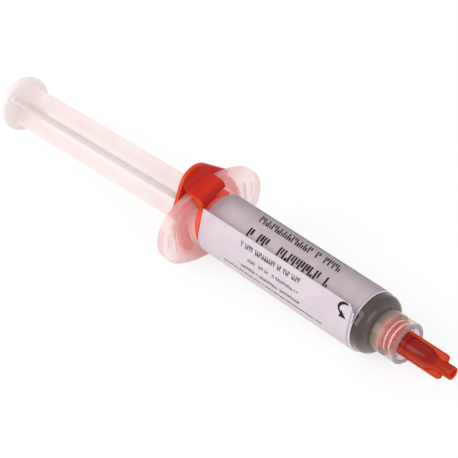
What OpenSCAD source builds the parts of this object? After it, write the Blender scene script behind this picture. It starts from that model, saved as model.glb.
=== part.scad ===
// Dispensing syringe filled with solder paste, lying as it comes to rest.
// Each piece is drawn about the barrel's own axis, tip towards +X, with x = 0 on the flange's
// rear face. placed() then lays the whole syringe on the ground: +X ahead, +Z up, z = 0 on the ground.

/* [Barrel] */
// Bore of the barrel
bore_d = 12.5; // [11:0.1:16]
// Wall of the barrel
barrel_wall = 1.1; // [0.8:0.1:1.6]
// Length from the flange's rear face to the start of the shoulder
barrel_len = 55.8; // [45:0.2:75]
// Radius that rounds the shoulder
shoulder_r = 2.2; // [1.4:0.1:2.6]
// Width of the finger flange, ear to ear
flange_w = 32; // [28:0.1:42]
// Height of the finger flange across the ears
flange_h = 21.2; // [20:0.1:28]
// Radius of the ear ends
ear_r = 8.6; // [6:0.1:9.5]
// Thickness of the flange at its rim
flange_t = 2; // [1.6:0.1:3.2]
// Depth of the thumb hollow in the front of each ear
ear_hollow = 0.7; // [0.3:0.1:1]
// Width of the slope down into the hollow
ear_slope = 1.1; // [0.4:0.1:1.6]
// Width of the rim left round the hollow
ear_rim = 1.3; // [0.9:0.1:2]
// Width of one grip rib
grip_w = 0.5; // [0.3:0.1:0.8]
// Height of the grip ribs over the hollow's floor
grip_rise = 0.35; // [0.2:0.05:0.7]
// Fillet between the flange and the barrel
flange_fillet = 0.4; // [0.2:0.05:1]

/* [Luer front] */
// Outer diameter of the locking collar
collar_d = 10.2; // [9.4:0.1:12]
// Bore of the locking collar
collar_bore_d = 8.1; // [7.9:0.05:8.4]
// Length of the collar beyond the shoulder
collar_len = 7.4; // [6:0.1:9]
// Floor under the collar, between paste and collar bore
collar_floor = 1.9; // [1.2:0.1:2.6]
// Diameter of the outlet cone at its root
luer_root_d = 4.3; // [4.1:0.05:4.4]
// How far the outlet cone stands out of the collar
luer_proud = 1.0; // [0:0.1:2]
// Diameter of the outlet channel
outlet_d = 2.2; // [1.2:0.1:2.6]

/* [Plunger] */
// Distance from the ball to the thumb disc's rear face
plunger_len = 78.6; // [66:0.2:100]
// Radial clearance between the fins and the bore
fin_slip = 0.85; // [0.5:0.05:2]
// Thickness of a fin
fin_t = 1.3; // [0.9:0.1:2]
// Length of the neck between the ball and the fins
neck_len = 12.5; // [9:0.5:24]
// Diameter of the neck
neck_d = 6.6; // [5:0.1:7]
// Depth of the slant on the front corners of the fins
fin_chamfer = 2; // [0.5:0.1:2.5]
// Length of that slant along the plunger
fin_lead = 5; // [1:0.1:8]
// Turn of the fins about the plunger
fin_turn = 44; // [0:1:90]
// Diameter of the thumb disc
disc_d = 14.8; // [12:0.2:24]
// Thickness of the thumb disc
disc_t = 2; // [1.4:0.1:3]
// Fillet from the fins to the thumb disc
disc_fillet = 2.2; // [1:0.1:3]
// Angle the plunger droops by at rest
droop = 2.8; // [0:0.1:3.2]

/* [Piston] */
// Rear of the piston, ahead of the flange's rear face
piston_at = 1.6; // [0.5:0.1:6]
// Length of the piston along its wall
piston_len = 8.4; // [7:0.1:12]
// Height of the cone on the piston's front
piston_cone = 2.2; // [1:0.1:3]
// Diameter of the ball on the plunger
ball_d = 5.24; // [4:0.02:5.6]
// Distance from the piston's rear to the ball's centre
ball_depth = 4.4; // [4:0.1:5]

/* [Flange clip] */
// Thickness of the plate behind the flange
clip_t = 1; // [0.8:0.1:2]
// Radius of the plate's legs round the plunger
clip_r = 10.3; // [9:0.1:11.5]
// Reach of the crown's flanks from the axis
crown_r = 11.5; // [10.5:0.1:12.5]
// Width of the waist between crown and legs
waist_w = 17.2; // [15:0.1:20]
// Radius of the crown's domed top
dome_r = 5.3; // [4:0.1:6.5]
// Rise of the crown over the flange
dome_rise = 5.05; // [3:0.05:6]
// Fillet between the crown and the bridge
throat = 2.6; // [1:0.1:3.2]
// Width of the bridge and lip over the flange
lip_w = 7.55; // [6:0.05:9]
// Thickness of the bridge over the flange
bridge_t = 1; // [0.7:0.1:1.6]
// Overhang of the lip beyond the saddle
lip_out = 0.4; // [0.3:0.05:2]
// Radius on the lip's top front edge
lip_round = 1; // [0.4:0.1:1.6]
// Depth of the lip's front below the bridge
lip_drop = 1.2; // [1:0.05:2.4]
// Width of the web that carries the saddle, from the lip's near side
web_w = 4.6; // [3:0.1:6]
// Gap between the flange and the saddle
saddle_gap = 1.1; // [0.5:0.05:1.5]
// Length of the saddle along the barrel
saddle_len = 2.1; // [1.4:0.1:4]
// Thickness of the saddle
saddle_t = 0.6; // [0.5:0.1:1.4]
// Angle that the saddle's arm wraps down the near side
saddle_arm = 81; // [60:1:110]
// Angle over which the arm's end slants
saddle_slant = 58; // [10:1:70]
// Angle that the saddle wraps past the lip on the far side
saddle_heel = 36; // [10:1:60]
// Clearance of the slot on each side of the fins
slot_slip = 1; // [0.6:0.1:2]
// Turn of the clip towards the near ear
clip_turn = 11; // [0:1:15]

/* [Tip cap] */
// Length of the cap
cap_len = 19; // [16:0.1:26]
// Diameter of the cap's body
cap_d = 4.95; // [4.8:0.05:6]
// Extra diameter at the cap's mouth, for draft
cap_draft = 0.75; // [0.6:0.05:1]
// Diameter of the nub
nub_d = 3.1; // [2.4:0.1:4]
// Length of the nub
nub_len = 4.25; // [3:0.05:6]
// Length of the taper from body to nub
cap_taper = 2.6; // [1:0.1:4]
// Width across the cap's wings
wing_span = 5.9; // [5.2:0.1:7]
// Thickness of a wing
wing_t = 0.9; // [0.6:0.1:1.2]
// Length of a wing
wing_len = 13; // [10:0.1:14]
// Distance from the wings' front to the nub's end
wing_back = 2.4; // [1:0.1:4]
// Turn of the wings about the cap
wing_turn = 54; // [0:1:180]
// Radial clearance of the locking lugs in the collar
lug_slip = 0.15; // [0.1:0.05:0.4]

/* [Labels] */
// Thickness of the base label
label_t = 0.18; // [0.1:0.02:0.3]
// Gap between the saddle and the base label
label_back = 0.15; // [0.1:0.05:6]
// Bare barrel between the base label and the shoulder
label_front = 1.2; // [0.5:0.1:8]
// Gap where the base label's two ends meet
label_gap = 1.5; // [0.5:0.1:6]
// Thickness of the folded booklet
booklet_t = 0.3; // [0.2:0.05:0.6]
// Inset of the booklet from each end of the base label
booklet_inset = 0.1; // [0.05:0.05:3]
// Where the booklet leaves the barrel, above the near side
booklet_lift_at = 21; // [0:1:40]
// Where the booklet is glued down, below the near side
booklet_glue_at = 113; // [90:1:160]
// Width of the booklet's free flap
flap_w = 5.5; // [3:0.1:8]
// Cut across the free flap's front corner
flap_cut = 1.6; // [0.4:0.1:2.4]

/* [Fits] */
// Radial clearance of pieces that slide or lie on each other
slip = 0.04; // [0.02:0.01:0.08]
// Radial clearance of the ball in its socket
ball_slip = 0.08; // [0.04:0.01:0.1]

/* [Hidden] */
$fn = 96;
eps = 0.01;

bore_r = bore_d / 2;
barrel_r = bore_r + barrel_wall;
collar_at = barrel_len + shoulder_r;
collar_end = collar_at + collar_len;
paste_end = barrel_len + shoulder_r - barrel_wall;
collar_floor_at = paste_end + collar_floor;
luer_end = collar_end + luer_proud;
luer_taper = 0.03;
outlet_r = outlet_d / 2;

flange_half = flange_h / 2;
ear_mid = flange_w / 2 - ear_r;
side_r = (ear_mid ^ 2 + flange_half ^ 2 - ear_r ^ 2) / (2 * (flange_half - ear_r));
side_drop = side_r - flange_half;
side_reach = side_r * ear_mid / norm([ear_mid, side_drop]);

ball_at = piston_at + ball_depth;
piston_end = piston_at + piston_len;
fin_r = bore_r - fin_slip;
fin_end = plunger_len - disc_t;

saddle_at = flange_t + saddle_gap;
saddle_end = saddle_at + saddle_len;
label_at = saddle_end + label_back;
label_len = barrel_len - label_front - label_at;
label_r = barrel_r + slip / 2 + label_t;
booklet_r = label_r + slip / 2 + booklet_t;
booklet_at = label_at + booklet_inset;
booklet_len = label_len - 2 * booklet_inset;
booklet_end = booklet_at + booklet_len;

bridge_in = side_r - side_drop * cos(clip_turn) + 3 * slip;
bridge_top = bridge_in + bridge_t;
dome_top = flange_half + dome_rise;
clip_slot = 2 * (fin_r + slot_slip);
lip_low = bridge_in - lip_drop;

lug_span = collar_bore_d - 2 * lug_slip;
cap_at = collar_floor_at + 0.6;
cap_end = cap_at + cap_len;
nub_at = cap_end - nub_len;

// The syringe rests on the flange's lower front edge and the booklet's lower front edge.
tilt = atan((flange_half - booklet_r) / (booklet_end - flange_t));
ground = flange_half * cos(tilt) + flange_t * sin(tilt);
front = cap_end * cos(tilt) + nub_d / 2 * sin(tilt);
lean = tilt - droop;
rear = ball_at * cos(tilt) - plunger_len * cos(lean) - disc_d / 2 * abs(sin(lean));
middle = (front + rear) / 2;

// Points of an arc from one angle to another
function arc(x, y, r, from, to, steps = 12) =
    [for (i = [0:steps]) let (a = from + (to - from) * i / steps) [x + r * cos(a), y + r * sin(a)]];

// Radius of the outlet cone at a place along the barrel
function luer_r(x) = luer_root_d / 2 - luer_taper * (x - collar_floor_at);

// Lays the syringe on the ground, centred on its own length
module placed() {
    translate([-middle, 0, ground]) rotate([0, tilt, 0]) children();
}

// Turns a profile of [radius, x] points about the barrel's axis
module turned(points) {
    rotate([0, 90, 0]) rotate_extrude() polygon(points);
}

// A ball on the axis with a small flat in front and behind
module ball(r) {
    turned(concat([[0, r * sin(70)]], arc(0, 0, r, 70, -60, 26), [[0, -r * sin(60)]]));
}

// A rod along the axis from one x to another
module rod(from, to, r, r_to = undef) {
    translate([from, 0, 0]) rotate([0, 90, 0]) cylinder(h = to - from, r1 = r, r2 = is_undef(r_to) ? r : r_to);
}

// A drawn outline, seen along the barrel, given thickness from one x to another
module slab(from, to) {
    translate([from, 0, 0]) rotate([90, 0, 90]) linear_extrude(to - from) children();
}

// A side view, drawn as [x, z] and given a width about the middle
module side_plate(width) {
    rotate([90, 0, 0]) linear_extrude(width, center = true) children();
}

// Outline of the flange: two round ears joined by two shallow arcs
module flange_outline() {
    for (side = [-1, 1]) translate([side * ear_mid, 0]) circle(ear_r);
    intersection() {
        translate([0, -side_drop]) circle(side_r);
        translate([0, side_drop]) circle(side_r);
        square([2 * side_reach, flange_h], center = true);
    }
}

// Dished hollow in the front of each ear, clear of the hub and of its ribs
module ear_hollows() {
    top_r = ear_r - ear_rim;
    for (side = [-1, 1]) difference() {
        translate([0, side * ear_mid, 0]) intersection() {
            rod(flange_t - ear_hollow, flange_t + ear_hollow, top_r - ear_slope, top_r + ear_slope);
            rod(flange_t - ear_hollow, flange_t + 0.1, top_r + ear_slope);
        }
        rod(0, flange_t + 1, barrel_r + flange_fillet + 1.6);
        for (i = [0, 1]) slab(0, flange_t - ear_hollow + grip_rise)
            translate([side * (ear_mid + top_r - ear_slope - 0.1 - 2.2 * i), -0.3])
                square([grip_w, 5 + 2.2 * i], center = true);
    }
}

module barrel() {
    root = collar_floor_at - 1;
    color([0.93, 0.84, 0.83, 0.6]) placed() difference() {
        union() {
            difference() {
                union() {
                    slab(0, flange_t) flange_outline();
                    turned(concat(
                        [[0, eps], [barrel_r + flange_fillet, eps], [barrel_r + flange_fillet, flange_t]],
                        arc(barrel_r + flange_fillet, flange_t + flange_fillet, flange_fillet, 270, 180),
                        arc(barrel_r - shoulder_r, barrel_len, shoulder_r, 0, 90),
                        [[collar_d / 2, collar_at], [collar_d / 2, collar_end - 0.3],
                         [collar_d / 2 - 0.3, collar_end], [0, collar_end]]));
                }
                ear_hollows();
                rod(collar_floor_at, collar_end + 1, collar_bore_d / 2);
            }
            rod(root, luer_end, luer_r(root), luer_r(luer_end));
        }
        turned(concat(
            [[0, -1], [bore_r + 1.5, -1], [bore_r, 0.5]],
            arc(bore_r - shoulder_r + barrel_wall, barrel_len, shoulder_r - barrel_wall, 0, 90),
            [[outlet_r, paste_end + 0.7], [outlet_r, luer_end + 1], [0, luer_end + 1]]));
    }
}

module solder_paste() {
    rear_r = 0.8;
    color([0.42, 0.39, 0.37]) placed() turned(concat(
        [[0, piston_end + piston_cone + slip], [rear_r, piston_end + piston_cone + slip],
         [bore_r - slip, piston_end + slip]],
        arc(bore_r - shoulder_r + barrel_wall, barrel_len, shoulder_r - barrel_wall - slip, 0, 90),
        [[outlet_r - slip, paste_end + 0.7 - slip], [outlet_r - slip, luer_end - slip],
         [0, luer_end - slip]]));
}

module piston() {
    lip = bore_r - slip;
    waist = lip - 0.4;
    cup_r = lip - 1.4;
    socket_r = ball_d / 2 + ball_slip;
    color([0.92, 0.92, 0.9]) placed() difference() {
        turned([[0, piston_at], [lip, piston_at], [lip, piston_at + 1.8], [waist, piston_at + 2.4],
                [waist, piston_end - 1.8], [lip, piston_end - 1.2], [lip, piston_end],
                [0.8, piston_end + piston_cone], [0, piston_end + piston_cone]]);
        rod(piston_at - 1, piston_at + ball_depth - ball_d / 2 + 0.4, cup_r);
        rod(piston_at, ball_at, ball_d / 2 - 0.45);
        translate([ball_at, 0, 0]) ball(socket_r);
    }
}

// One pair of opposite fins, drawn from the ball's centre backwards
module fin_pair() {
    root = fin_end - disc_fillet;
    side_plate(fin_t) for (side = [-1, 1]) polygon(concat(
        [[-neck_len - 0.4, 0], [-neck_len - 0.4, side * (fin_r - fin_chamfer)],
         [-neck_len - 0.4 - fin_lead, side * fin_r], [-root, side * fin_r]],
        [for (p = arc(-root, fin_r + disc_fillet, disc_fillet, 270, 180)) [p[0], side * p[1]]],
        [[-fin_end - disc_t / 2, side * fin_r], [-fin_end - disc_t / 2, 0]]));
}

module plunger() {
    edge = 0.7;
    color([0.95, 0.89, 0.89, 0.75]) placed() translate([ball_at, 0, 0]) rotate([0, -droop, 0]) {
        difference() {
            union() {
                ball(ball_d / 2);
                rod(-ball_depth, 0, ball_d / 2 - 0.9);
                rod(-neck_len, -ball_depth + 0.8, neck_d / 2, neck_d / 2 - 0.3);
                rod(-neck_len - 4, -neck_len, fin_t, neck_d / 2);
                for (pair = [0, 90]) rotate([fin_turn + pair, 0, 0]) intersection() {
                    fin_pair();
                    rod(-plunger_len + edge, 0, disc_d / 2 - 2 * edge);
                }
                turned(concat(
                    [[0, -fin_end]],
                    arc(disc_d / 2 - edge, -fin_end - edge, edge, 90, 0, 6),
                    arc(disc_d / 2 - edge, -plunger_len + edge, edge, 0, -90, 6),
                    [[0, -plunger_len]]));
            }
            for (ring = [2.4, 4.6]) rotate([0, 90, 0]) translate([0, 0, -plunger_len]) difference() {
                cylinder(h = 0.8, r = ring + 0.35, center = true);
                cylinder(h = 1, r = ring - 0.35, center = true);
            }
        }
    }
}

// Outline of the plate behind the flange: a domed crown, a waist and round legs
module clip_outline() {
    rise = dome_top - dome_r;
    slope = asin((crown_r - dome_r) / rise);
    knee = crown_r * sin(slope) - 0.7;
    translate([0, rise]) circle(dome_r);
    polygon([for (side = [-1, 1]) for (i = side > 0 ? [0, 1, 2] : [2, 1, 0])
        i == 2 ? [side * dome_r * cos(slope), rise + dome_r * sin(slope)]
        : i == 1 ? [side * crown_r * cos(slope), crown_r * sin(slope)] : [side * crown_r * cos(slope), knee]]);
    translate([-waist_w / 2, 0]) square([waist_w, knee + 0.1]);
    intersection() {
        circle(clip_r);
        translate([-2 * clip_r, -2 * clip_r]) square([4 * clip_r, 2 * clip_r + knee - 2.4]);
    }
}

module flange_clip() {
    back = -slip - clip_t;
    inner = barrel_r + slip;
    lip_end = saddle_end + lip_out;
    arm_mid = inner + saddle_t / 2;
    arm_low = arm_mid * cos(saddle_arm);
    arm_high = arm_mid * cos(saddle_arm - saddle_slant);
    arm_fall = (arm_high - arm_low) / saddle_len;
    color([0.78, 0.13, 0.12]) placed() rotate([clip_turn, 0, 0]) difference() {
        union() {
            slab(back, -slip) difference() {
                clip_outline();
                circle(clip_slot / 2);
                translate([-clip_slot / 2, -2 * clip_r]) square([clip_slot, 2 * clip_r]);
                translate([-2 * clip_r, -2 * clip_r - clip_slot / 2]) square([4 * clip_r, 2 * clip_r]);
            }
            intersection() {
                side_plate(lip_w) polygon(concat(
                    [[back, bridge_in], [back, bridge_top + throat]],
                    arc(-slip + throat, bridge_top + throat, throat, 180, 270),
                    arc(lip_end - lip_round, bridge_top - lip_round, lip_round, 90, 0),
                    [[lip_end, lip_low], [flange_t + slip, lip_low], [flange_t + slip, bridge_in]]));
                slab(back, lip_end) clip_outline();
            }
            slab(saddle_at, saddle_end) translate([-lip_w / 2, 0.8 * inner])
                square([web_w, bridge_in - 0.8 * inner]);
            difference() {
                rod(saddle_at, saddle_end, inner + saddle_t);
                slab(saddle_at - 1, saddle_end + 1) difference() {
                    circle(2 * inner);
                    polygon([[0, 0], 2 * inner * [sin(saddle_heel), cos(saddle_heel)], [0, 2 * inner],
                             [-2 * inner, 2 * inner], [-2 * inner, 0],
                             2 * inner * [-sin(saddle_arm), cos(saddle_arm)]]);
                }
                rotate([90, 0, 0]) linear_extrude(2 * inner) polygon([
                    [saddle_at - 1, arm_high + arm_fall], [saddle_end + 1, arm_low - arm_fall],
                    [saddle_end + 1, -2 * inner], [saddle_at - 1, -2 * inner]]);
            }
        }
        rod(flange_t, lip_end + 1, inner);
    }
}

module tip_cap() {
    body_r = cap_d / 2;
    mouth_r = body_r + cap_draft / 2;
    socket_end = luer_end + 0.8;
    nub_hole = nub_d / 2 - 0.55;
    wing_end = cap_end - wing_back;
    color([0.82, 0.2, 0.1, 0.85]) placed() difference() {
        union() {
            turned([[0, cap_at], [mouth_r, cap_at], [body_r, collar_end], [body_r, nub_at - cap_taper],
                    [nub_d / 2, nub_at], [nub_d / 2, cap_end], [0, cap_end]]);
            rotate([wing_turn, 0, 0]) intersection() {
                rod(cap_at, cap_at + 1.6, lug_span / 2);
                translate([cap_at, -lug_span / 2, -mouth_r]) cube([1.6, lug_span, 2 * mouth_r]);
            }
            rotate([wing_turn + 90, 0, 0]) side_plate(wing_t) for (side = [-1, 1]) polygon(concat(
                [[wing_end - wing_len, 0], [wing_end - wing_len, side * body_r],
                 [wing_end - wing_len + 0.6, side * wing_span / 2]],
                [for (p = arc(wing_end - 0.8, wing_span / 2 - 0.8, 0.8, 90, 0, 6)) [p[0], side * p[1]]],
                [[wing_end, 0]]));
        }
        rod(cap_at - 1, socket_end, luer_r(cap_at - 1) + slip, luer_r(socket_end) + slip);
        rod(cap_end - 1.8, cap_end + 1, nub_hole);
    }
}

module base_label() {
    half_gap = label_gap / 2;
    color([0.76, 0.72, 0.76]) placed() difference() {
        rod(label_at, label_at + label_len, label_r);
        rod(label_at - 1, label_at + label_len + 1, label_r - label_t);
        rotate([-30, 0, 0]) translate([label_at - 1, 0, -half_gap]) cube([label_len + 2, 2 * label_r, label_gap]);
    }
}

module booklet_label() {
    inner = booklet_r - booklet_t;
    color([0.87, 0.83, 0.87]) placed() {
        rotate([-booklet_lift_at, 0, 0]) {
            translate([0, -inner, 0]) rotate([90, 0, 0]) linear_extrude(booklet_t) polygon([
                [booklet_at, -eps], [booklet_end, -eps], [booklet_end, flap_w - flap_cut],
                [booklet_end - flap_cut, flap_w], [booklet_at, flap_w]]);
            rotate([0, 90, 0]) translate([0, 0, booklet_at]) rotate(-90)
                rotate_extrude(angle = booklet_lift_at + booklet_glue_at)
                    translate([inner, 0]) square([booklet_t, booklet_len]);
        }
    }
}

barrel();
solder_paste();
piston();
plunger();
flange_clip();
tip_cap();
base_label();
booklet_label();
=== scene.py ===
"""Looks of a filled dispensing syringe that lies on a pale floor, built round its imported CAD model."""
import bpy, bmesh, math
from mathutils import Matrix, Vector


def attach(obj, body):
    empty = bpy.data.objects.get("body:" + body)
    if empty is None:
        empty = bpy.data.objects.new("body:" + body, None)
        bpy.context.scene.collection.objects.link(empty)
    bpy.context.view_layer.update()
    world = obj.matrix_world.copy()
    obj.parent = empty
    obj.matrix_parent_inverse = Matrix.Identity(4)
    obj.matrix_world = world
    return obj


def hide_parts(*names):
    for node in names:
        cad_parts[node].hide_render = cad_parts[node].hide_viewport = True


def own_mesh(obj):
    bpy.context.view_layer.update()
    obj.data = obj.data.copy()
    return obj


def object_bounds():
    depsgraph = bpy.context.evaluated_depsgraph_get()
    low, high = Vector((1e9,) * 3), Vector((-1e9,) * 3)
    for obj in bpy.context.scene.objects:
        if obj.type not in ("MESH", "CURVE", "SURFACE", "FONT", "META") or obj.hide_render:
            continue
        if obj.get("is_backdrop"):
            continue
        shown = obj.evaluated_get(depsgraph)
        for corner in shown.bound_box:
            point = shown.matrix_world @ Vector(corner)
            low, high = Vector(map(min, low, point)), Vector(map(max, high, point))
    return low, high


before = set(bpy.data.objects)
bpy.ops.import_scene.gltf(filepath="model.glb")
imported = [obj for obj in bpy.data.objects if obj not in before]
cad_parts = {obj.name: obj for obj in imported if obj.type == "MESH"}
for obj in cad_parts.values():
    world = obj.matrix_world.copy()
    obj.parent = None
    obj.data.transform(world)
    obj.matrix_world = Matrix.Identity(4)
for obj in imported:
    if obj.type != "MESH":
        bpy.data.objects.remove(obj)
cad_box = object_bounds()

# Sizes on the syringe are in mm. Places along it are counted from the flange's rear face, with the tip ahead.
# The axis numbers place the barrel's own axis in the shared frame, as the part's source does.
MM = 0.001
AXIS_MIDDLE, AXIS_HEIGHT, AXIS_TILT = 2.87208, 10.6896, math.radians(2.9767)
LAY = (Matrix.Translation((-AXIS_MIDDLE * MM, 0, AXIS_HEIGHT * MM)) @ Matrix.Rotation(AXIS_TILT, 4, "Y")
       @ Matrix.Scale(MM, 4))
BALL_AT = 6.0                       # centre of the plunger's ball joint
PLUNGER_DROOP = math.radians(2.8)   # the plunger droops from the barrel's axis by this angle
FIN_TURN = math.radians(44)         # how far its fins are turned about its own axis
BORE_R, LABEL_R, BOOKLET_R = 6.25, 7.55, 7.87
LIFT_AT = math.radians(21)          # how far up the barrel's near side the booklet's flap leaves it
CLEAR_FROM = 3.2                    # the barrel is clear ahead of here, and its flange behind is milky
BASE_LABEL_FRONT, BOOKLET_FRONT = 54.6, 54.5
INK_THICKNESS = 0.03
ON_AXIS = 1e-4                      # radius of a ring that closes a turned shape on the axis
WHITE = (1, 1, 1, 1)


# Small tools for trees of nodes.
def tint(text, alpha=1.0):
    """A colour written as six hex digits, as the linear colour that a shader takes."""
    parts = [int(text[i:i + 2], 16) / 255 for i in (0, 2, 4)]
    return [c / 12.92 if c <= 0.04045 else ((c + 0.055) / 1.055) ** 2.4 for c in parts] + [alpha]


def add(tree, kind, label=None, props=(), **sockets):
    """A node with its properties, and its sockets filled with values or linked to other nodes' outputs.

    A socket goes by its name, with _ for a space, or by its number with an i before it, such as i0.
    """
    node = tree.nodes.new(kind)
    if label:
        node.label = label
    for key, value in dict(props).items():
        setattr(node, key, value)
    for key, value in sockets.items():
        numbered = key[0] == "i" and key[1:].isdigit()
        socket = node.inputs[int(key[1:]) if numbered else key.replace("_", " ")]
        if isinstance(value, bpy.types.NodeSocket):
            tree.links.new(value, socket)
        else:
            socket.default_value = value
    return node


def maths(tree, operation, a, b=0.0, c=0.0):
    return add(tree, "ShaderNodeMath", props={"operation": operation}, i0=a, i1=b, i2=c).outputs[0]


def ramp(tree, value, low, high, to_low=0.0, to_high=1.0):
    """Value between low and high, spread smoothly over to_low to to_high."""
    return add(tree, "ShaderNodeMapRange", props={"interpolation_type": "SMOOTHSTEP"}, Value=value,
               From_Min=low, From_Max=high, To_Min=to_low, To_Max=to_high).outputs[0]


def effect_group(name, takes, gives):
    """A shader node group: takes = {name: value, or None for a place}, gives = names of values."""
    tree = bpy.data.node_groups.new(name, "ShaderNodeTree")
    for key, value in takes.items():
        kind = "NodeSocketVector" if value is None else "NodeSocketFloat"
        socket = tree.interface.new_socket(key, in_out="INPUT", socket_type=kind)
        if value is not None:
            socket.default_value = value
    for key in gives:
        tree.interface.new_socket(key, in_out="OUTPUT", socket_type="NodeSocketFloat")
    return tree, tree.nodes.new("NodeGroupInput"), tree.nodes.new("NodeGroupOutput")


# Effects that several finishes share.
def make_moulded_skin():
    """Waviness and grain of a moulded or printed skin: a gloss value round 0, a height and a soft cloud."""
    takes = {"Place": None, "Wave size": 3.0, "Grain size": 0.25, "Grain": 0.3}
    tree, got, out = effect_group("moulded skin", takes, ("Gloss", "Height", "Cloud"))
    wave = add(tree, "ShaderNodeTexNoise", Vector=got.outputs["Place"], Detail=2.0,
               Scale=maths(tree, "DIVIDE", 1.0, got.outputs["Wave size"]))
    grain = add(tree, "ShaderNodeTexNoise", Vector=got.outputs["Place"], Detail=3.0, Roughness=0.6,
                Scale=maths(tree, "DIVIDE", 1.0, got.outputs["Grain size"]))
    height = maths(tree, "MULTIPLY_ADD", grain.outputs["Fac"], got.outputs["Grain"], wave.outputs["Fac"])
    tree.links.new(maths(tree, "SUBTRACT", wave.outputs["Fac"], 0.5), out.inputs["Gloss"])
    tree.links.new(height, out.inputs["Height"])
    tree.links.new(wave.outputs["Fac"], out.inputs["Cloud"])
    return tree


def make_dust_specks():
    """Sparse round specks of dust or dried paste."""
    takes = {"Place": None, "Spacing": 2.0, "Radius": 0.08, "Share": 0.4}
    tree, got, out = effect_group("dust specks", takes, ("Mask",))
    cell = add(tree, "ShaderNodeTexVoronoi", Vector=got.outputs["Place"],
               Scale=maths(tree, "DIVIDE", 1.0, got.outputs["Spacing"]))
    reach = maths(tree, "DIVIDE", got.outputs["Radius"], got.outputs["Spacing"])
    near = ramp(tree, maths(tree, "DIVIDE", cell.outputs["Distance"], reach), 1.0, 0.6)
    pick = add(tree, "ShaderNodeSeparateColor", Color=cell.outputs["Color"])
    kept = maths(tree, "LESS_THAN", pick.outputs[0], got.outputs["Share"])
    tree.links.new(maths(tree, "MULTIPLY", near, kept), out.inputs["Mask"])
    return tree


MOULDED_SKIN = make_moulded_skin()
DUST_SPECKS = make_dust_specks()


class Finish:
    """A material under way: its tree, its shader, and the place on the syringe in mm along its own axis."""

    def __init__(self, name, view_colour, droop=0.0):
        self.material = bpy.data.materials.new(name)
        self.material.use_nodes = True
        self.material.diffuse_color = view_colour
        self.tree = tree = self.material.node_tree
        self.shader = next(n for n in tree.nodes if n.type == "BSDF_PRINCIPLED")
        coordinates = add(tree, "ShaderNodeTexCoord")
        origin = LAY @ Vector((BALL_AT if droop else 0, 0, 0))
        place = add(tree, "ShaderNodeMapping", "place on the axis", {"vector_type": "TEXTURE"},
                    Vector=coordinates.outputs["Object"], Location=origin,
                    Rotation=(0, AXIS_TILT - droop, 0), Scale=(MM, MM, MM))
        self.place = place.outputs[0]
        self.along, self.side, self.up = add(tree, "ShaderNodeSeparateXYZ", Vector=self.place).outputs
        self.radius = self.maths("SQRT", self.maths("ADD", self.times(self.side, self.side),
                                                    self.times(self.up, self.up)))

    def maths(self, operation, a, b=0.0, c=0.0):
        return maths(self.tree, operation, a, b, c)

    def times(self, a, b):
        return maths(self.tree, "MULTIPLY", a, b)

    def most(self, first, *others):
        """The largest of some values."""
        for other in others:
            first = maths(self.tree, "MAXIMUM", first, other)
        return first

    def ramp(self, value, low, high, to_low=0.0, to_high=1.0):
        return ramp(self.tree, value, low, high, to_low, to_high)

    def mix(self, share, a, b):
        """Colour a where the share is 0, and b where it is 1."""
        return add(self.tree, "ShaderNodeMix", props={"data_type": "RGBA"}, i0=share, i6=a, i7=b).outputs[2]

    def facing(self):
        """How far the surface faces ahead, to the far side and up, as the piece lies at rest."""
        normal = add(self.tree, "ShaderNodeTexCoord").outputs["Normal"]
        return add(self.tree, "ShaderNodeSeparateXYZ", Vector=normal).outputs

    def effect(self, tree, **sizes):
        """The outputs of a shared effect, placed here with its own sizes."""
        group = self.tree.nodes.new("ShaderNodeGroup")
        group.node_tree = tree
        self.tree.links.new(self.place, group.inputs["Place"])
        for key, value in sizes.items():
            group.inputs[key.replace("_", " ")].default_value = value
        return group.outputs

    def skin(self, wave, grain_size, grain, bump, roughness, spread, rougher=None):
        """Roughness and bump that vary over the surface, with rougher as more roughness. Gives the cloud."""
        skin = self.effect(MOULDED_SKIN, Wave_size=wave, Grain_size=grain_size, Grain=grain)
        rough = self.maths("MULTIPLY_ADD", skin["Gloss"], spread, roughness)
        self.feed("Roughness", rough if rougher is None else self.maths("ADD", rough, rougher))
        bumped = add(self.tree, "ShaderNodeBump", Height=skin["Height"], Strength=1.0, Distance=bump * MM)
        self.feed("Normal", bumped.outputs[0])
        return skin["Cloud"]

    def specks(self, spacing, radius, share):
        return self.effect(DUST_SPECKS, Spacing=spacing, Radius=radius, Share=share)["Mask"]

    def feed(self, name, value):
        """A value that varies over the surface, to one of the shader's sockets."""
        self.tree.links.new(value, self.shader.inputs[name])

    def set(self, **sockets):
        """Values that are the same all over, on the shader's own sockets."""
        for key, value in sockets.items():
            self.shader.inputs[key.replace("_", " ")].default_value = value

    def clear(self, face_on, more_at_edge, less_for_light=0.0):
        """Clear plastic: how dense it is face on, how much denser edge on, and how much thinner to light."""
        edge = add(self.tree, "ShaderNodeLayerWeight", Blend=0.35).outputs["Facing"]
        seen = self.maths("MULTIPLY_ADD", edge, more_at_edge, face_on)
        rays = add(self.tree, "ShaderNodeLightPath").outputs
        light = self.most(rays["Is Shadow Ray"], rays["Is Diffuse Ray"])
        self.feed("Alpha", self.most(self.maths("MULTIPLY_ADD", light, -less_for_light, seen), 0.0))


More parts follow.
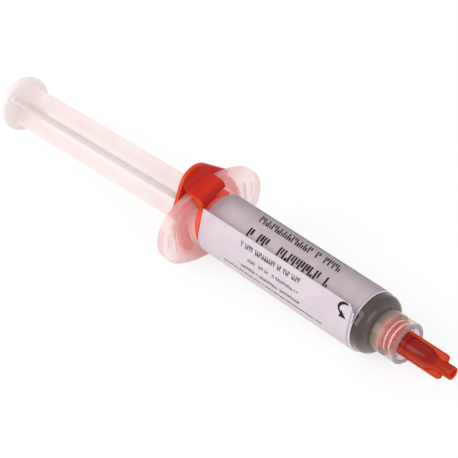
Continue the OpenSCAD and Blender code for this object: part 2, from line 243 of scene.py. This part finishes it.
# The finishes. Each mask is 1 where its name says, and falls to 0 between the two numbers of its ramp.
def milky_polypropylene():
    """The flange and its ears: deeper pink where the red clip stands behind, cream on the barrel's own wall,
    and painted shade on the slopes and rims.
    """
    f = Finish("milky polypropylene", tint("F3DFDC", 0.7))
    cloud = f.skin(wave=3.5, grain_size=0.5, grain=0.1, bump=0.02, roughness=0.16, spread=0.08)
    pale = f.mix(f.ramp(cloud, 0.35, 0.65), tint("FFF0EC"), tint("FFE5E0"))
    # Painted shade: the ears' sloped faces and rims take a darker pink.
    shaded_slopes = f.ramp(f.maths("ABSOLUTE", f.facing()[0]), 0.93, 0.4)
    wider_below = f.ramp(f.up, -1.0, -6.0, 0.0, 1.3)
    root = f.ramp(f.maths("SUBTRACT", f.radius, wider_below), 12.6, 8.4)
    crown = f.times(f.ramp(f.up, 4.0, 9.0), f.ramp(f.radius, 15.5, 13.0))
    over_clip = f.most(root, crown)
    far = f.ramp(f.side, 3.0, 9.0)
    clip_behind = f.mix(far, f.mix(crown, tint("F99E9E"), tint("EF8E8C")), tint("FFB9B8"))
    pink = f.mix(over_clip, f.mix(far, pale, tint("FFD6D2")), clip_behind)
    slope_shade_share = f.times(shaded_slopes, f.maths("MULTIPLY_ADD", far, -0.35, 0.75))
    barrel_wall = f.times(f.ramp(f.radius, 7.9, 7.6), f.ramp(f.along, 1.4, 1.8))
    f.feed("Base Color", f.mix(barrel_wall, f.mix(slope_shade_share, pink, tint("E6ACAC")), tint("F4C4B6")))
    f.set(Coat_Weight=0.3, Coat_Roughness=0.08)
    even = f.maths("MULTIPLY_ADD", far, -0.2, 0.4)
    denser = f.most(f.times(barrel_wall, 0.33), f.times(over_clip, 0.2), f.times(shaded_slopes, 0.22))
    f.clear(f.maths("ADD", denser, even), more_at_edge=0.3, less_for_light=0.3)
    return f.material


def clear_polypropylene():
    """The barrel's front: a clear wall with grey paste to its outline, with painted shade that darkens the
    top and lightens it below, then the pinkish lock collar.
    """
    f = Finish("clear polypropylene", tint("D9CDC9", 0.5))
    matt_inside = f.ramp(f.radius, 4.9, 4.6, 0.0, 0.5)
    cloud = f.skin(wave=3.0, grain_size=0.5, grain=0.1, bump=0.003, roughness=0.07, spread=0.04,
                   rougher=matt_inside)
    # Painted shade: the paste seen through the wall is darker at the top and lighter below.
    low = f.maths("MULTIPLY_ADD", f.ramp(f.up, 3.0, -5.0), 0.8, f.times(cloud, 0.2))
    paste = f.mix(low, tint("3F3631"), tint("8B7F79"))
    clean = f.mix(f.ramp(cloud, 0.35, 0.65), tint("D8A49B"), tint("C9918A"))
    mouth = f.ramp(f.along, 64.9, 65.2)
    backfacing = add(f.tree, "ShaderNodeNewGeometry").outputs["Backfacing"]
    from_within = f.most(f.ramp(f.radius, 4.5, 4.15), backfacing)
    neck = f.times(f.ramp(f.along, 60.7, 59.7), f.maths("SUBTRACT", 1.0, from_within))
    collar = f.mix(mouth, f.mix(neck, clean, tint("8F7A73")), tint("988688"))
    collar_inside = f.times(f.ramp(f.along, 58.1, 58.7), from_within)
    no_paste = f.most(f.ramp(f.along, 57.0, 60.0), f.ramp(f.along, 40.0, 20.0), collar_inside)
    rear = f.ramp(f.along, 6.0, 5.0)
    shell = f.mix(rear, f.mix(no_paste, paste, collar), tint("FFD2C4"))
    speck = f.times(f.specks(spacing=2.2, radius=0.1, share=0.2), f.ramp(f.along, 57.5, 58.5))
    f.feed("Base Color", f.mix(speck, shell, tint("4A3634")))
    f.set(Specular_IOR_Level=0.1, Coat_Roughness=0.05)
    gloss_outside = f.ramp(f.radius, 4.6, 4.9, 0.03, 0.5)
    less_on_collar = f.ramp(f.along, 57.4, 58.2, 1.0, 0.55)
    f.feed("Coat Weight", f.times(gloss_outside, less_on_collar))
    over_paste = f.times(f.ramp(f.along, 59.5, 56.5), f.ramp(f.along, 20, 30, 0.1, 0.7))
    collar_root = f.ramp(f.along, 61.5, 60.4)
    dense = f.most(f.times(speck, 0.6), f.times(mouth, 0.5), f.times(rear, 0.65), f.times(neck, 0.78),
                   f.times(collar_root, 0.5), over_paste)
    f.clear(f.maths("ADD", dense, 0.12), more_at_edge=0.4, less_for_light=0.28)
    return f.material


def thread_polypropylene():
    """The lock thread's rings, with a paler colour than the collar's wall as painted light that they catch.
    """
    f = Finish("thread polypropylene", tint("F8E6E3", 0.7))
    f.skin(wave=2.0, grain_size=0.4, grain=0.1, bump=0.004, roughness=0.1, spread=0.05)
    # Painted light: a paler colour than the collar's wall.
    f.set(Base_Color=tint("FFF0EC"))
    f.clear(0.45, more_at_edge=0.3)
    return f.material


def plunger_polypropylene():
    """Milky rod: light comes through its thin blades, the edges of one pair of fins are greyer, and painted
    light brightens the corners at the fins' roots and the other pair's edges.
    """
    f = Finish("plunger polypropylene", tint("FBEAE8", 0.8), PLUNGER_DROOP)
    cloud = f.skin(wave=6.0, grain_size=0.4, grain=0.2, bump=0.012, roughness=0.3, spread=0.08)
    blade = f.mix(f.ramp(cloud, 0.3, 0.7), tint("F1E3E1"), tint("EEDCDA"))
    # Painted light: the corners between the fins, near the rod's axis, are brighter where shade would fall.
    lit_fin_root = f.times(f.ramp(f.radius, 3.2, 0.6), f.ramp(f.along, -71.0, -66.0))
    disc = f.ramp(f.along, -74.6, -76.6)
    shaded = f.mix(disc, f.mix(lit_fin_root, blade, tint("FFF6F3")), tint("F9ECEB"))

    # The fins' own directions: out to the edges of the greyer pair, and across it to those of the other pair.
    out = f.maths("MULTIPLY_ADD", f.up, math.cos(FIN_TURN), f.times(f.side, -math.sin(FIN_TURN)))
    across = f.maths("MULTIPLY_ADD", f.up, math.sin(FIN_TURN), f.times(f.side, math.cos(FIN_TURN)))
    ahead_of_disc = f.ramp(f.along, -76.5, -75.3)
    fin_reach = f.ramp(f.along, -17.9, -12.9, 5.4, 3.4)
    below_edge = f.maths("SUBTRACT", fin_reach, f.maths("ABSOLUTE", out))
    below_edge = f.maths("SUBTRACT", below_edge, f.ramp(f.along, -18.6, -17.6, 0.0, 0.5))
    grey_edge = f.times(f.ramp(below_edge, 0.16, 0.06), ahead_of_disc)
    grey_edge = f.times(grey_edge, f.ramp(across, -0.5, -0.1, 0.35, 1.0))
    # Painted light: the other pair's edges, which face away from the lamps, are lighter.
    lit_pink_edge = f.times(f.ramp(f.maths("ABSOLUTE", across), 5.15, 5.3), ahead_of_disc)
    f.feed("Base Color", f.mix(grey_edge, f.mix(lit_pink_edge, shaded, tint("FFE2DE")), tint("D3C5C5")))
    f.clear(0.96, more_at_edge=0.0, less_for_light=0.6)
    return f.material


def clip_plastic():
    """Red clip, with painted shade: darker on faces that look ahead, deepest in the throat and on the lip's
    nose; and painted light: orange on faces toward the near side and on the rear plate's rim, and a bright
    saddle under the lip.
    """
    f = Finish("clip plastic", tint("C62A20"))
    f.skin(wave=3.0, grain_size=0.3, grain=0.3, bump=0.012, roughness=0.36, spread=0.12)
    facing = f.facing()
    # Painted shade: the throat is darker, most of all on its near side.
    throat = f.mix(f.ramp(f.side, -1.0, 5.0), tint("B51811"), tint("D02A1E"))
    lip = f.ramp(f.along, 3.2, 4.6)
    # Painted shade: faces that look ahead take the darker colours of the throat and the lip's nose.
    front = f.ramp(facing[0], 0.3, 0.8)
    red = f.mix(front, tint("CC2612"), f.mix(lip, throat, tint("B21E0C")))
    # Painted light: orange on faces toward the near side, and at half strength on the rear plate's rim.
    lit_near_side = f.ramp(f.times(facing[1], -1.0), 0.4, 0.85)
    plate_edge = f.times(f.ramp(f.radius, 12.6, 15.6), f.ramp(f.along, 0.4, -0.2))
    red = f.mix(f.most(lit_near_side, f.times(plate_edge, 0.5)), red, tint("E04812"))
    # Painted light: the saddle under the lip is brighter than the lip's shade would leave it.
    saddle = f.ramp(f.radius, 8.6, 8.1)
    f.feed("Base Color", f.mix(saddle, red, tint("FF6046")))
    f.set(Specular_IOR_Level=0.2)
    return f.material


def cap_plastic():
    """Orange-red cap: dark where its body is thick, with painted light that brightens the body's downward
    faces; lighter orange in its thin wings and nub, and a painted glow in the nub's hole.
    """
    f = Finish("cap plastic", tint("B8301C"))
    f.skin(wave=3.0, grain_size=0.4, grain=0.2, bump=0.002, roughness=0.05, spread=0.03)
    # Painted light: the body is brighter on its downward faces and darker on its upward ones.
    body = f.mix(f.ramp(f.facing()[2], 0.55, 0.1), tint("900F04"), tint("B8310E"))
    body_r = f.ramp(f.along, 71.55, 74.15, 2.5, 1.62)
    wings = f.ramp(f.maths("SUBTRACT", f.radius, body_r), 0.0, 0.18)
    thin = f.most(wings, f.ramp(f.along, 73.0, 75.0, 0.0, 0.45))
    # Painted light: a glow inside the nub's hole, which would otherwise lie in shade.
    hole = f.times(f.ramp(f.radius, 1.15, 1.0), f.ramp(f.along, 74.5, 75.5))
    f.feed("Base Color", f.mix(hole, f.mix(thin, body, tint("CC3A05")), tint("E2382C")))
    f.set(Specular_IOR_Level=0.0, Coat_Roughness=0.03)
    f.feed("Coat Weight", f.ramp(thin, 0.0, 1.0, 0.38, 0.14))
    return f.material


def grey_paste():
    """Matt grey paste with a few darker grains."""
    f = Finish("grey paste", tint("7C746C"))
    cloud = f.skin(wave=1.6, grain_size=0.2, grain=0.3, bump=0.01, roughness=0.5, spread=0.15)
    base = f.mix(f.ramp(cloud, 0.35, 0.7), tint("6E645E"), tint("5E544F"))
    f.feed("Base Color", f.mix(f.specks(spacing=0.9, radius=0.08, share=0.3), base, tint("4A423E")))
    return f.material


def piston_plastic():
    """Off-white, matt wiper piston."""
    f = Finish("piston plastic", tint("EDEBE6"))
    cloud = f.skin(wave=3.0, grain_size=0.3, grain=0.3, bump=0.01, roughness=0.45, spread=0.1)
    f.feed("Base Color", f.mix(f.ramp(cloud, 0.3, 0.7), tint("F0EDE8"), tint("E6E2DC")))
    return f.material


def paper(name, light, dark, front_edge):
    """Label paper: fibre grain, a soft cloud of tone, painted shade that greys its far top, and a painted
    shadow band, cool in tone, just behind its white cut front edge.
    """
    f = Finish(name, light)
    cloud = f.skin(wave=5.0, grain_size=0.12, grain=0.5, bump=0.006, roughness=0.5, spread=0.1)
    # Painted shade: greyer over the label's far top.
    far_top_shade = f.times(f.ramp(f.side, -1.0, 6.0), f.ramp(f.up, 1.0, 4.6))
    sheet = f.mix(far_top_shade, f.mix(f.ramp(cloud, 0.3, 0.7), light, dark), tint("978A90"))
    # Painted shadow: a cool band just behind the front edge; the cut edge itself is the paper's own white.
    front_shadow_band = f.ramp(f.along, front_edge - 1.0, front_edge - 0.25)
    cut_edge = f.ramp(f.along, front_edge - 0.2, front_edge - 0.12)
    f.feed("Base Color", f.mix(cut_edge, f.mix(front_shadow_band, sheet, tint("A69DB8")), tint("EFEAF2")))
    return f.material


def print_ink():
    """Near-black ink, a little worn."""
    f = Finish("print ink", tint("2B2427"))
    f.skin(wave=1.0, grain_size=0.1, grain=0.5, bump=0.004, roughness=0.45, spread=0.1)
    f.feed("Base Color", f.mix(f.specks(spacing=0.35, radius=0.1, share=0.5), tint("1A1517"), tint("2E282B")))
    f.set(Specular_IOR_Level=0.2)
    return f.material


MILKY_PLASTIC = milky_polypropylene()
CLEAR_PLASTIC = clear_polypropylene()
THREAD_PLASTIC = thread_polypropylene()
PLUNGER_PLASTIC = plunger_polypropylene()
CLIP_PLASTIC = clip_plastic()
CAP_PLASTIC = cap_plastic()
PASTE = grey_paste()
PISTON_PLASTIC = piston_plastic()
# The base label's paper is greyer than the booklet's, partly as its own stock and partly as painted shade.
LABEL_PAPER = paper("base label paper", tint("C6B6BC"), tint("BDACB3"), BASE_LABEL_FRONT)
BOOKLET_PAPER = paper("booklet paper", tint("DFD2D9"), tint("D9CBD3"), BOOKLET_FRONT)
INK = print_ink()


# The pieces.
def linked(name, content):
    """An object in the scene that holds a mesh, a light or a camera."""
    thing = bpy.data.objects.new(name, content)
    bpy.context.scene.collection.objects.link(thing)
    return thing


def new_piece(name, mesh, material, body):
    """A mesh as a piece that rides on a body, with the given material as its finish."""
    piece = linked(name, mesh)
    mesh.materials.clear()
    mesh.materials.append(material)
    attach(piece, body)
    return piece


def mesh_of(name, work):
    """What a bmesh holds, as a mesh. The bmesh is freed."""
    mesh = bpy.data.meshes.new(name)
    work.to_mesh(mesh)
    work.free()
    return mesh


def baked(piece, mesh_name):
    """The mesh that a piece's live modifiers give, and the piece itself removed."""
    graph = bpy.context.evaluated_depsgraph_get()
    mesh = bpy.data.meshes.new_from_object(piece.evaluated_get(graph))
    mesh.name = mesh_name
    bpy.data.objects.remove(piece)
    return mesh


def smooth(mesh):
    for face in mesh.polygons:
        face.use_smooth = True


def softened(node, name, material, body, edge):
    """A copy of a CAD node with its moulded edges rounded to the width edge, which stands for the node."""
    weld, flat_within, sharp_from = 2e-6, math.radians(0.8), math.radians(35)
    work = bmesh.new()
    work.from_mesh(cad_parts[node].data)
    bmesh.ops.remove_doubles(work, verts=work.verts, dist=weld)
    bmesh.ops.dissolve_limit(work, angle_limit=flat_within, verts=work.verts, edges=work.edges)
    mesh = mesh_of(name + "_draft", work)
    smooth(mesh)
    draft = linked(name + "_draft", mesh)
    rounding = draft.modifiers.new("moulded edges", "BEVEL")
    rounding.width, rounding.segments, rounding.limit_method = edge * MM, 3, "ANGLE"
    rounding.angle_limit = sharp_from
    rounding.use_clamp_overlap = True
    shading = draft.modifiers.new("flat faces stay flat", "WEIGHTED_NORMAL")
    shading.weight = 100
    piece = new_piece(name, baked(draft, name), material, body)
    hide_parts(node)
    return piece


def turned(name, profile, steps=96):
    """A mesh turned about the barrel's axis from a closed profile of (radius, along) points."""
    weld, sharp_from = 1e-7, math.radians(40)
    work = bmesh.new()
    rings = [[work.verts.new(LAY @ Vector((x, -r * math.cos(a), r * math.sin(a))))
              for a in (2 * math.pi * i / steps for i in range(steps))] for r, x in profile]
    for here, ahead in zip(rings, rings[1:] + rings[:1]):
        for i in range(steps):
            j = (i + 1) % steps
            work.faces.new((here[i], here[j], ahead[j], ahead[i]))
    bmesh.ops.remove_doubles(work, verts=work.verts, dist=weld)
    bmesh.ops.recalc_face_normals(work, faces=work.faces)
    mesh = mesh_of(name, work)
    smooth(mesh)
    mesh.set_sharp_from_angle(angle=sharp_from)
    return mesh


def bend(r, x, radius, start, end, steps=10):
    """Profile points on an arc about (r, x), from the angle start to the angle end in degrees."""
    angles = [math.radians(start + (end - start) * i / steps) for i in range(steps + 1)]
    return [(r + radius * math.cos(a), x + radius * math.sin(a)) for a in angles]


def make_paste():
    """The paste in the straight bore, and the paste ahead of it, whose hollow rear makes room for the
    piston's cone.
    """
    wall = BORE_R + 0.03            # a little into the barrel's wall, so that no gap shows
    rear, cone_front, cone_tip_r = 10.04, 12.24, 0.8
    bore_end, shoulder_r, rings_between = 55.8, 1.06, (20, 35, 48)
    body = turned("paste_in_bore",
                  [(ON_AXIS, cone_front), (cone_tip_r, cone_front), (wall, rear)]
                  + [(wall, x) for x in rings_between] + [(wall, bore_end), (ON_AXIS, bore_end)])
    in_bore = new_piece("paste_in_bore", body, PASTE, "barrel")

    hollow_front, hollow_tip_r, hollow_r, hollow_rear = bore_end + 1.5, 0.9, 4.5, bore_end + 0.02
    outlet_r, outlet_from, outlet_end = 1.06, 57.5, 66.3
    front = turned("paste_in_outlet",
                   [(ON_AXIS, hollow_front), (hollow_tip_r, hollow_front), (hollow_r, hollow_rear),
                    (wall, hollow_rear)]
                   + bend(wall - shoulder_r, bore_end, shoulder_r, 3, 90)
                   + [(outlet_r, outlet_from), (outlet_r, outlet_end), (ON_AXIS, outlet_end)])
    in_outlet = new_piece("paste_in_outlet", front, PASTE, "barrel")

    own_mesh(in_bore)
    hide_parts("solder_paste")
    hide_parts("solder_paste")


# The print on the labels.
def print_row_tree():
    """Geometry Nodes: a row of plain slanted strokes along X that stands in for a line of print.

    Each mark is a full stroke and a short one beside it, which never touch. Some are left out, as spaces.
    """
    tree = bpy.data.node_groups.new("print row", "GeometryNodeTree")
    tree.interface.new_socket("Geometry", in_out="INPUT", socket_type="NodeSocketGeometry")
    sizes = {}
    for key, kind in (("Marks", "Int"), ("Pitch", "Float"), ("Height", "Float"), ("Stem", "Float"),
                      ("Slant", "Float"), ("Seed", "Int"), ("Ink", "Material")):
        socket = tree.interface.new_socket(key, in_out="INPUT", socket_type=f"NodeSocket{kind}")
        sizes[key] = socket.identifier
    tree.interface.new_socket("Geometry", in_out="OUTPUT", socket_type="NodeSocketGeometry")
    got, out = tree.nodes.new("NodeGroupInput").outputs, tree.nodes.new("NodeGroupOutput")

    def times(a, b):
        return maths(tree, "MULTIPLY", a, b)

    def drawn(low, high, offset):
        """A number for each mark between low and high, from the row's seed and an offset of its own."""
        seed = maths(tree, "ADD", got["Seed"], float(offset))
        node = add(tree, "FunctionNodeRandomValue", props={"data_type": "FLOAT"}, i2=low, i3=high, Seed=seed)
        return node.outputs[1]

    step = add(tree, "ShaderNodeCombineXYZ", X=got["Pitch"])
    line = add(tree, "GeometryNodeMeshLine", Count=got["Marks"], Offset=step.outputs[0])
    block = add(tree, "GeometryNodeMeshCube", Size=(1, 1, 1), Vertices_X=2, Vertices_Y=5, Vertices_Z=2)
    space_share = 0.12
    shown = maths(tree, "GREATER_THAN", drawn(0.0, 1.0, 1), space_share)

    def strokes(along, across, width, height):
        """One stroke of every mark, placed from the mark's own point."""
        size = add(tree, "ShaderNodeCombineXYZ", X=times(width, shown), Y=times(height, shown),
                   Z=INK_THICKNESS)
        spots = add(tree, "GeometryNodeInstanceOnPoints", Points=line.outputs[0], Instance=block.outputs[0],
                    Scale=size.outputs[0])
        shift = add(tree, "ShaderNodeCombineXYZ", X=along, Y=times(across, got["Height"]))
        return add(tree, "GeometryNodeTranslateInstances", Instances=spots.outputs[0],
                   Translation=shift.outputs[0], Local_Space=False)

    beside = times(got["Pitch"], drawn(0.42, 0.58, 2))
    above_or_below = times(maths(tree, "SIGN", drawn(-1.0, 1.0, 3)), 0.25)
    short_stem = times(got["Stem"], drawn(0.8, 1.3, 4))
    parts = add(tree, "GeometryNodeJoinGeometry")
    for part in (strokes(0.0, 0.0, got["Stem"], got["Height"]),
                 strokes(beside, above_or_below, short_stem, times(got["Height"], 0.5))):
        tree.links.new(part.outputs[0], parts.inputs[0])
    flat = add(tree, "GeometryNodeRealizeInstances", Geometry=parts.outputs[0])
    where = add(tree, "ShaderNodeSeparateXYZ", Vector=add(tree, "GeometryNodeInputPosition").outputs[0])
    lean = add(tree, "ShaderNodeCombineXYZ", X=times(where.outputs[1], got["Slant"]))
    slanted = add(tree, "GeometryNodeSetPosition", Geometry=flat.outputs[0], Offset=lean.outputs[0])
    inked = add(tree, "GeometryNodeSetMaterial", Geometry=slanted.outputs[0], Material=got["Ink"])
    tree.links.new(inked.outputs[0], out.inputs[0])
    return tree, sizes


def print_row(row_tree, start, length, height, stem, pitch, slant, seed, across):
    """One row's mesh in paper coordinates: X along the barrel, Y across it, in mm."""
    tree, sizes = row_tree
    row = linked("print_draft", bpy.data.meshes.new("print_draft"))
    live = row.modifiers.new("print row", "NODES")
    live.node_group = tree
    values = {"Marks": round(length / pitch), "Pitch": pitch, "Height": height, "Stem": stem, "Slant": slant,
              "Seed": seed, "Ink": INK}
    for key, value in values.items():
        live[sizes[key]] = value
    mesh = baked(row, "print_row")
    mesh.transform(Matrix.Translation((start, across, 0)))
    return mesh


def arrow_mesh():
    """A generic curved arrow that shows where the flap is peeled, in paper coordinates."""
    work = bmesh.new()
    middle = [(52.6, 5.15), (51.8, 5.15), (51.0, 4.85), (50.4, 4.3), (50.15, 3.6), (50.35, 3.0), (50.9, 2.5),
              (51.4, 2.2)]
    widths = [0.5, 0.62, 0.72, 0.76, 0.68, 0.58, 0.48, 0.42]
    head = [(51.15, 3.15), (52.9, 1.6), (50.75, 1.4)]
    left, right = [], []
    for i, ((x, s), width) in enumerate(zip(middle, widths)):
        ahead, behind = Vector(middle[min(i + 1, len(middle) - 1)]), Vector(middle[max(i - 1, 0)])
        across = (ahead - behind).normalized().orthogonal() * width / 2
        left.append((x + across.x, s + across.y))
        right.append((x - across.x, s - across.y))
    outlines = [[left[i], left[i + 1], right[i + 1], right[i]] for i in range(len(middle) - 1)] + [head]
    for outline in outlines:
        top = [work.verts.new((x, s, INK_THICKNESS / 2)) for x, s in outline]
        low = [work.verts.new((x, s, -INK_THICKNESS / 2)) for x, s in outline]
        work.faces.new(top)
        work.faces.new(low[::-1])
        for i in range(len(outline)):
            j = (i + 1) % len(outline)
            work.faces.new((top[i], low[i], low[j], top[j]))
    return mesh_of("peel_arrow", work)


def on_base_label(x, s, h):
    """A point of the syringe: s is the arc length up the label from its near side, h the height above it."""
    r = LABEL_R + h
    return LAY @ Vector((x, -r * math.cos(s / LABEL_R), r * math.sin(s / LABEL_R)))


def on_booklet(x, s, h):
    """As above: s is counted up the free flap from where it leaves the barrel, and is negative below that."""
    angle = LIFT_AT + min(s, 0) / BOOKLET_R
    r, up = BOOKLET_R + h, max(s, 0)
    side = -r * math.cos(angle) + up * math.sin(LIFT_AT)
    return LAY @ Vector((x, side, r * math.sin(angle) + up * math.cos(LIFT_AT)))


def print_piece(name, meshes, to_label):
    """Meshes in paper coordinates as one piece of print, with to_label as their place on the syringe."""
    work = bmesh.new()
    for mesh in meshes:
        work.from_mesh(mesh)
    for vertex in work.verts:
        vertex.co = to_label(*vertex.co)
    bmesh.ops.recalc_face_normals(work, faces=work.faces)
    new_piece(name, mesh_of(name, work), INK, "barrel")


def make_print():
    """The rows of print on both labels, and the arrow on the booklet."""
    row_tree = print_row_tree()

    def round_barrel(degrees):
        return LABEL_R * math.radians(degrees)

    # Each row: start, length, height, stem, pitch, slant, seed, and how far up the label it is.
    base_rows = ((17.6, 26.0, 2.6, 0.42, 1.3, -0.4, 3, round_barrel(104)),
                 (18.4, 26.4, 3.3, 0.56, 1.65, -0.05, 8, round_barrel(63.5)),
                 (13.0, 34.0, 0.6, 0.12, 0.45, -0.2, 5, round_barrel(129)))
    booklet_rows = ((19.1, 19.0, 1.4, 0.2, 0.66, -0.12, 11, 3.3),
                    (22.0, 16.4, 0.75, 0.11, 0.4, -0.12, 12, 0.4),
                    (20.2, 20.0, 0.75, 0.11, 0.4, -0.12, 13, -1.8),
                    (14.3, 32.2, 0.5, 0.09, 0.32, -0.12, 14, -3.6))
    on_label = [print_row(row_tree, *row) for row in base_rows]
    print_piece("base_label_print", on_label, on_base_label)
    on_flap = [print_row(row_tree, *row) for row in booklet_rows] + [arrow_mesh()]
    print_piece("booklet_print", on_flap, on_booklet)


def make_collar_thread():
    """The two raised rings of the lock thread, inside the collar."""
    foot_r, crest_r, half_foot, half_crest = 4.049, 3.93, 0.22, 0.06
    for name, at in (("collar_thread_1", 61.7), ("collar_thread_2", 63.2)):
        ring = turned(name, [(foot_r, at - half_foot), (crest_r, at - half_crest), (crest_r, at + half_crest),
                             (foot_r, at + half_foot)])
        new_piece(name, ring, THREAD_PLASTIC, "barrel")


def finish_nodes():
    """Materials for the CAD nodes that stay."""
    for node, material in (("piston", PISTON_PLASTIC), ("base_label", LABEL_PAPER),
                           ("booklet_label", BOOKLET_PAPER)):
        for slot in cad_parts[node].material_slots:
            slot.material = material


barrel_shell = softened("barrel", "barrel_shell", MILKY_PLASTIC, "barrel", edge=0.3)
barrel_shell.data.materials.append(CLEAR_PLASTIC)
for face in barrel_shell.data.polygons:
    face.material_index = int((LAY.inverted() @ face.center).x > CLEAR_FROM)
softened("plunger", "plunger_rod", PLUNGER_PLASTIC, "plunger", edge=0.28)
softened("flange_clip", "clip_body", CLIP_PLASTIC, "barrel", edge=0.25)
softened("tip_cap", "cap_body", CAP_PLASTIC, "tip_cap", edge=0.12)
make_paste()
make_print()
make_collar_thread()
finish_nodes()


# The floor, the light and the camera, in metres.
def show_by_ray(tree, output, lighting, seen):
    """Ends a tree: seen is for rays from the camera, or sent on by a surface, and lighting for all others."""
    rays = add(tree, "ShaderNodeLightPath").outputs
    sent_on = maths(tree, "MAXIMUM", rays["Is Glossy Ray"], rays["Is Transmission Ray"])
    both = add(tree, "ShaderNodeMixShader", i0=maths(tree, "MAXIMUM", rays["Is Camera Ray"], sent_on),
               i1=lighting.outputs[0], i2=seen.outputs[0])
    tree.links.new(both.outputs[0], add(tree, output).inputs[0])


def make_floor():
    """A round floor that looks nearly white where no shadow falls, and lights the object as pale grey."""
    work = bmesh.new()
    bmesh.ops.create_circle(work, cap_ends=True, segments=64, radius=3.0)
    mesh = mesh_of("pale_floor", work)
    floor = linked("pale_floor", mesh)
    material = bpy.data.materials.new("pale floor")
    material.use_nodes = True
    tree = material.node_tree
    tree.nodes.clear()
    grey = add(tree, "ShaderNodeBsdfDiffuse", Color=(0.82, 0.82, 0.82, 1))
    shadowed = add(tree, "ShaderNodeBsdfDiffuse", Color=(0.3, 0.3, 0.3, 1))
    own_light = add(tree, "ShaderNodeEmission", Color=WHITE, Strength=0.74)
    nearly_white = add(tree, "ShaderNodeAddShader", i0=shadowed.outputs[0], i1=own_light.outputs[0])
    show_by_ray(tree, "ShaderNodeOutputMaterial", grey, nearly_white)
    mesh.materials.append(material)
    floor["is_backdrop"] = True


def make_world():
    """A soft room light, with a white backdrop."""
    world = bpy.data.worlds.new("pale studio")
    bpy.context.scene.world = world
    world.use_nodes = True
    tree = world.node_tree
    tree.nodes.clear()
    room = add(tree, "ShaderNodeBackground", Color=WHITE, Strength=0.7)
    backdrop = add(tree, "ShaderNodeBackground", Color=WHITE, Strength=1.0)
    show_by_ray(tree, "ShaderNodeOutputWorld", room, backdrop)


def softbox(name, toward, distance, size, power):
    """A rectangular lamp that stands in the direction toward and shines on the frame's origin."""
    light = bpy.data.lights.new(name, "AREA")
    light.shape, light.size, light.size_y, light.energy = "RECTANGLE", size[0], size[1], power
    direction = Vector(toward).normalized()
    turn = direction.to_track_quat("Z", "Y").to_matrix().to_4x4()
    linked(name, light).matrix_world = Matrix.Translation(direction * distance) @ turn


def make_camera():
    """The photograph's view: where it was taken from, what is in its middle, and its tilt to one side."""
    place, aim = Vector((0.270463, -0.209172, 0.285935)), Vector((0.005991, -0.000987, 0.010968))
    roll = math.radians(-7.726)
    camera = bpy.data.cameras.new("photo_camera")
    camera.sensor_width, camera.lens, camera.clip_start = 36.0, 144.06, 0.01
    eye = linked("photo_camera", camera)
    turn = (aim - place).to_track_quat("-Z", "Y").to_matrix().to_4x4() @ Matrix.Rotation(roll, 4, "Z")
    eye.matrix_world = Matrix.Translation(place) @ turn
    bpy.context.scene.camera = eye


make_floor()
make_world()
softbox("key_softbox", toward=(-0.48, -0.69, 0.545), distance=0.8, size=(0.36, 0.65), power=2.4)
softbox("front_softbox", toward=(0.93, -0.12, 0.35), distance=0.9, size=(0.6, 0.5), power=2.2)
make_camera()
bpy.context.scene.view_settings.view_transform = "Standard"

plain_box = lambda box: [[float(v) for v in corner] for corner in box]
{"cad": plain_box(cad_box), "visual": plain_box(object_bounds())}
